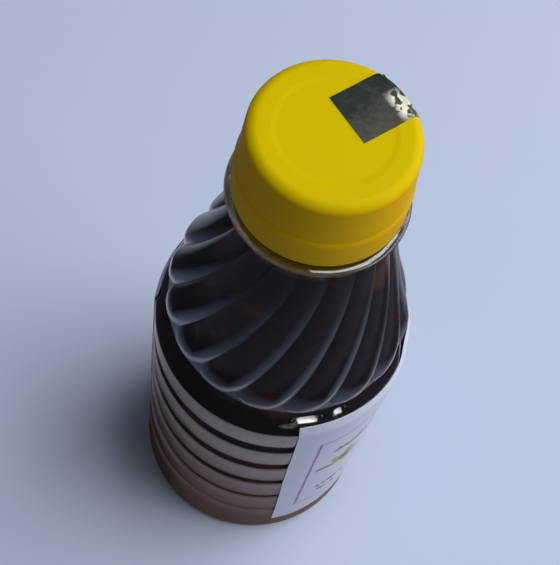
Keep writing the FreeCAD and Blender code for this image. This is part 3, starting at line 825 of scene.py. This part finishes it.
def label_radius(height, bearing):
    """The crests that the paper rests on, with the little that it sags between them."""
    crest = TOP_LIP + BAND_CREST
    above = (height - LOW_LIP + BEAD_PITCH - CREST_HEIGHT) / BEAD_PITCH % 1
    sag = LABEL_SAG * 4 * above * (1 - above)
    paper = np.where(height < TOP_LIP - BEAD_PITCH + CREST_HEIGHT, BODY_RADIUS - sag, BODY_RADIUS - 0.05)
    paper = np.where(height > crest, turned_radius(height), paper)
    return paper + dents(height, bearing) * 0.6


def make_label():
    """Paper on the crests of the beads. Its edges are cut a little skew and not quite straight, and its
    foot rises away from its start."""
    rows, columns = 120, 260
    up = np.linspace(0, 1, rows)[:, None]
    along = np.linspace(0, 1, columns)[None, :]
    bearing = lerp(LABEL_START, LABEL_END, along) - LABEL_SKEW * (up - 0.5) * (1 - along)
    bearing = bearing + 0.25 * np.sin(up * 9) * (1 - along) ** 8
    top = LABEL_TOP - 0.35 + 0.3 * np.sin(along * 21 + 0.5)
    foot = LABEL_FOOT + 0.15 + 0.12 * np.sin(along * 24) + LABEL_RISE * smooth_step(0.01, 0.22, along)
    height = lerp(foot, top, up)
    radius = label_radius(height, bearing)
    lifted = 0.25 * np.exp(-((1 - along) / 0.012) ** 2) + 0.1 * np.exp(-(along / 0.006) ** 2)
    radius = np.minimum(radius + lifted, BODY_RADIUS + 0.05)
    under = polar(radius + LABEL_INNER, bearing, height)
    outer = polar(radius + LABEL_OUTER, bearing, height)
    sheet_piece("label_sheet", outer, under, "label", label_material(), sharp=50)


def make_foil():
    """The foil square, which follows the cap's dished top and is folded down over its rounded edge."""
    count = 60
    across = np.linspace(-0.5, 0.5, count)[:, None] * FOIL_WIDTH + FOIL_SHIFT
    along = FOIL_INNER + np.linspace(0, 1, count)[None, :] * FOIL_LENGTH
    x = along * math.cos(FOIL_BEARING) - across * math.sin(FOIL_BEARING)
    y = along * math.sin(FOIL_BEARING) + across * math.cos(FOIL_BEARING)
    reach = np.hypot(x, y)
    over = np.clip(reach - (CAP_TOP_RADIUS - CAP_EDGE), 0, CAP_EDGE * 0.97)
    height = cap_top(reach) - CAP_EDGE + np.sqrt(CAP_EDGE ** 2 - over ** 2) + FOIL_ABOVE
    top = np.stack([x, y, np.minimum(height, high("foil_sticker").z)], axis=-1)
    under = top - (0, 0, FOIL_THICKNESS)
    sheet_piece("foil_square", top, under, "foil_sticker", foil_material(), sharp=40)


# ---------------------------------------------------------------- floor, light and camera

# from the axis: over how far the table's painted colours for the gloss are laid out, where the table
# starts and ends to fade for the camera, and how far it runs to each side. LAMP_AIM is the height lamps
# look at.
GLOSS_REACH, FADE_START, FADE_END, TABLE_HALF = 300, 300, 900, 6000
LAMP_AIM = 60


def floor_material():
    """A pale matt table top, which fades into the backdrop far out. For the bottle's gloss its colour is
    painted: painted shade near the foot, a painted bright ring round the bottle and painted dark beyond it,
    except behind the bottle, where it is painted a middling pale."""
    material, tree, shader = new_material("table_top")
    spot = place(tree)
    cloud = noise(tree, spot, 0.006, 3.0)
    pale = mixed(tree, ranged(tree, cloud, 0.3, 0.7), colour(184, 197, 222), colour(189, 200, 224))
    reach = add(tree, "ShaderNodeVectorMath", {0: spot}, operation="LENGTH").outputs["Value"]
    # painted reflection: the table's colour for glossy rays, with painted shade near the foot, a painted
    # bright ring and painted dark beyond
    painted_gloss_table = ramp(tree, ranged(tree, reach, 0, GLOSS_REACH), [
        (0.1, colour(132, 116, 120)), (0.155, colour(212, 205, 218)), (0.225, colour(214, 207, 220)),
        (0.275, colour(48, 44, 52)), (0.5, colour(52, 48, 56)), (0.62, colour(112, 108, 120))])
    painted_gloss_table = mixed(tree, ranged(tree, axes_of(tree, spot)[1], 50, 75), painted_gloss_table, colour(160, 166, 186))
    path = add(tree, "ShaderNodeLightPath")
    plug(tree, shader, Base_Color=mixed(tree, path.outputs["Is Glossy Ray"], pale, painted_gloss_table), Roughness=0.8,
         Specular_IOR_Level=0.1)
    far = math_node(tree, "MULTIPLY", path.outputs["Is Camera Ray"],
                    ranged(tree, reach, FADE_START, FADE_END))
    backdrop = add(tree, "ShaderNodeEmission", {"Color": FAR_TABLE})
    blend = add(tree, "ShaderNodeMixShader", {0: far, 1: shader.outputs[0], 2: backdrop.outputs[0]})
    tree.links.new(blend.outputs[0], tree.nodes["Material Output"].inputs["Surface"])
    return material


def make_floor():
    half = TABLE_HALF
    mesh = bpy.data.meshes.new("table_top")
    corners = [(-half, -half, 0), (half, -half, 0), (half, half, 0), (-half, half, 0)]
    mesh.from_pydata([tuple(c * MM for c in corner) for corner in corners], [], [(0, 1, 2, 3)])
    mesh.materials.append(floor_material())
    floor = bpy.data.objects.new("table_top", mesh)
    bpy.context.scene.collection.objects.link(floor)


def make_world():
    """Dim soft light all round; the camera sees the table's colour beyond the table."""
    world = bpy.data.worlds.new("studio")
    bpy.context.scene.world = world
    world.use_nodes = True
    tree = world.node_tree
    room = tree.nodes["Background"]
    room.inputs["Color"].default_value = (0.92, 0.95, 1.0, 1)
    room.inputs["Strength"].default_value = 0.1
    pale = add(tree, "ShaderNodeBackground", {"Color": FAR_TABLE, "Strength": 1.0})
    path = add(tree, "ShaderNodeLightPath")
    blend = add(tree, "ShaderNodeMixShader",
                {0: path.outputs["Is Camera Ray"], 1: room.outputs[0], 2: pale.outputs[0]})
    tree.links.new(blend.outputs[0], tree.nodes["World Output"].inputs["Surface"])


def lamp(name, bearing, elevation, distance, width, tall, brightness):
    """A soft white panel that looks at the bottle's middle and is as bright whatever its size."""
    data = bpy.data.lights.new(name, "AREA")
    data.shape = "RECTANGLE"
    data.size, data.size_y = width * MM, tall * MM
    data.energy = brightness * data.size * data.size_y * math.pi
    panel = bpy.data.objects.new(name, data)
    bpy.context.scene.collection.objects.link(panel)
    out, up = math.radians(bearing), math.radians(elevation)
    away = Vector((math.cos(out) * math.cos(up), math.sin(out) * math.cos(up), math.sin(up)))
    panel.location = Vector((0, 0, LAMP_AIM * MM)) + away * distance * MM
    panel.rotation_mode = "QUATERNION"
    panel.rotation_quaternion = away.to_track_quat("Z", "Y")


def make_lights():
    lamp("key", bearing=20, elevation=72, distance=1000, width=520, tall=520, brightness=8.3)
    lamp("window", bearing=18, elevation=24, distance=1100, width=1900, tall=700, brightness=2.6)


def make_camera():
    """Looks down on the bottle from the front, steeply, and a little turned about its line of sight.
    It stands back from the axis and up from the table, and its angles are in radians."""
    back, up = 106.863, 308.747
    tilt, pan, roll = 1.114, -0.010, 0.281
    sensor_width, focal_length = 36, 76.460177
    level = Vector((1, 0, 0))
    ahead = Vector((0, math.cos(tilt), -math.sin(tilt)))
    over = level.cross(ahead)
    sight = ahead * math.cos(pan) + level * math.sin(pan)
    side = level * math.cos(pan) - ahead * math.sin(pan)
    right = side * math.cos(roll) + over * math.sin(roll)
    top = over * math.cos(roll) - side * math.sin(roll)
    data = bpy.data.cameras.new("camera")
    data.sensor_width, data.lens = sensor_width, focal_length
    data.clip_start, data.clip_end = 0.01, 50
    camera = bpy.data.objects.new("camera", data)
    bpy.context.scene.collection.objects.link(camera)
    camera.matrix_world = Matrix.Translation(Vector((0, -back, up)) * MM) @ Matrix(
        (right, top, -sight)).transposed().to_4x4()
    bpy.context.scene.camera = camera


make_bottle()
make_oil()
make_cap()
make_label()
make_foil()
make_floor()
make_world()
make_lights()
make_camera()
bpy.context.scene.view_settings.view_transform = "Standard"
